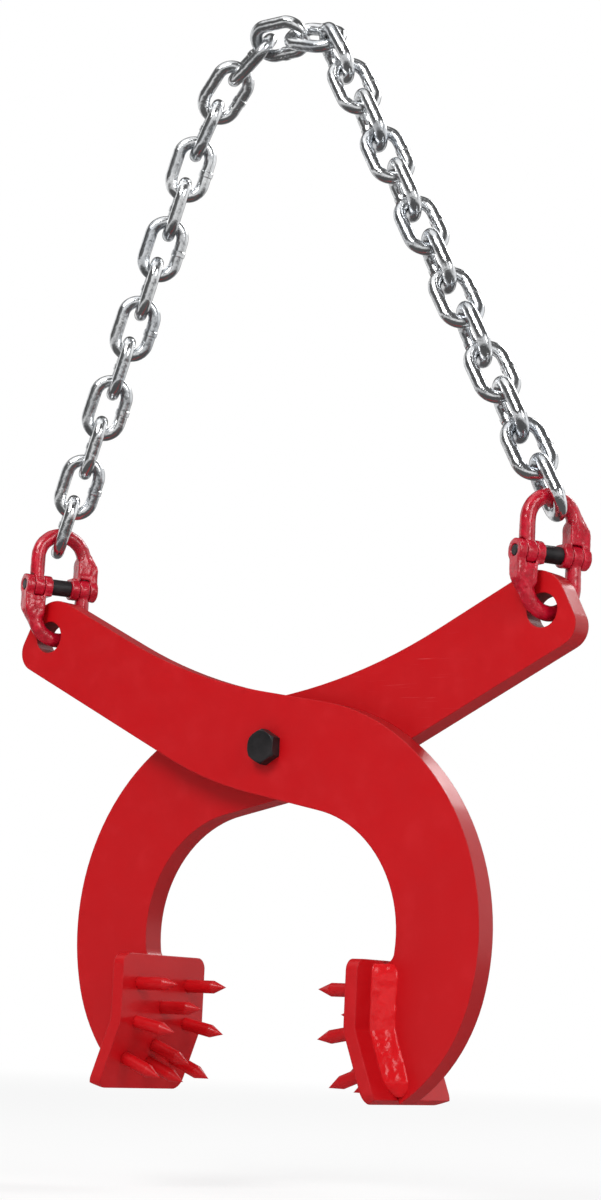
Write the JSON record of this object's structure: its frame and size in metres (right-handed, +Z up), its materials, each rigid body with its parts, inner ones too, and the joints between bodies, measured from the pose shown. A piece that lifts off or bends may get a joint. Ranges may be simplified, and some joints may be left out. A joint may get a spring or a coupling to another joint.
{
  "type": "brick tongs",
  "caption": "Scissor lifting tongs with spiked jaws on hooked plate arms, hung from a loop of short-link chain by two-part coupling links.",
  "frame": {"origin": "hook point under the middle of the top link", "axes": "+Z up, X across the arms, Y along the pivot bolt, with the bolt's head towards -Y"},
  "size_m": [0.4099, 0.08, 0.681],
  "materials": {
    "plate_red": "glossy red enamel",
    "coupling_red": "glossy crimson paint over rough forging",
    "black_oxide": "black oxide",
    "chain_zinc": "bright zinc plate"
  },
  "bodies": {
    "top_link": {"top_link": "chain_zinc"},
    "left_leg": {"left_link_1": "chain_zinc", "left_link_2": "chain_zinc", "left_link_3": "chain_zinc", "left_link_4": "chain_zinc", "left_link_5": "chain_zinc", "left_link_6": "chain_zinc", "left_link_7": "chain_zinc", "left_link_8": "chain_zinc", "left_link_9": "chain_zinc", "left_link_10": "chain_zinc", "left_link_11": "chain_zinc", "left_link_12": "chain_zinc", "left_link_13": "chain_zinc", "left_link_14": "chain_zinc"},
    "left_coupling": {"left_lower_half": "coupling_red", "left_upper_half": "coupling_red", "left_load_pin": "black_oxide", "left_retaining_sleeve": "black_oxide"},
    "front_arm": {"front_arm": "plate_red", "front_jaw": "plate_red", "front_spikes": "plate_red", "front_weld": "plate_red", "pivot_bolt": "black_oxide", "pivot_washer": "black_oxide", "pivot_nut": "black_oxide"},
    "rear_arm": {"rear_arm": "plate_red", "rear_jaw": "plate_red", "rear_spikes": "plate_red", "rear_weld": "plate_red"},
    "right_coupling": {"right_lower_half": "coupling_red", "right_upper_half": "coupling_red", "right_load_pin": "black_oxide", "right_retaining_sleeve": "black_oxide"},
    "right_leg": {"right_link_1": "chain_zinc", "right_link_2": "chain_zinc", "right_link_3": "chain_zinc", "right_link_4": "chain_zinc", "right_link_5": "chain_zinc", "right_link_6": "chain_zinc", "right_link_7": "chain_zinc", "right_link_8": "chain_zinc", "right_link_9": "chain_zinc", "right_link_10": "chain_zinc", "right_link_11": "chain_zinc", "right_link_12": "chain_zinc", "right_link_13": "chain_zinc"}
  },
  "joints": [
    {"name": "left_leg_swing", "type": "hinge", "parent": "top_link", "child": "left_leg", "pos_m": [-0.01327, 0, 0.01569], "axis": [0, 1, 0], "range_deg": [-1.39, 3.41]},
    {"name": "left_coupling_swing", "type": "hinge", "parent": "left_leg", "child": "left_coupling", "pos_m": [-0.18275, 0, -0.30016], "axis": [0, 1, 0], "range_deg": [-3.41, 1.39]},
    {"name": "front_arm_swing", "type": "hinge", "parent": "left_coupling", "child": "front_arm", "pos_m": [-0.18275, 0, -0.3685], "axis": [0, 1, 0], "range_deg": [-15.3, 6.15]},
    {"name": "jaw_opening", "type": "hinge", "parent": "front_arm", "child": "rear_arm", "pos_m": [-0.00053, 0, -0.44531], "axis": [0, 1, 0], "range_deg": [-12, 30]},
    {"name": "right_coupling_swing", "type": "hinge", "parent": "rear_arm", "child": "right_coupling", "pos_m": [0.18168, 0, -0.3685], "axis": [0, 1, 0], "range_deg": [-14.79, 5.95]},
    {"name": "right_leg_swing", "type": "hinge", "parent": "right_coupling", "child": "right_leg", "pos_m": [0.18168, 0, -0.30016], "axis": [0, 1, 0], "range_deg": [-3.08, 1.26]}
  ],
  "couplings": [
    {"joint": "left_leg_swing", "follows": "jaw_opening", "ratio": 0.112},
    {"joint": "left_coupling_swing", "follows": "jaw_opening", "ratio": -0.112},
    {"joint": "front_arm_swing", "follows": "jaw_opening", "ratio": -0.5085},
    {"joint": "right_coupling_swing", "follows": "jaw_opening", "ratio": -0.4915},
    {"joint": "right_leg_swing", "follows": "jaw_opening", "ratio": -0.101}
  ]
}
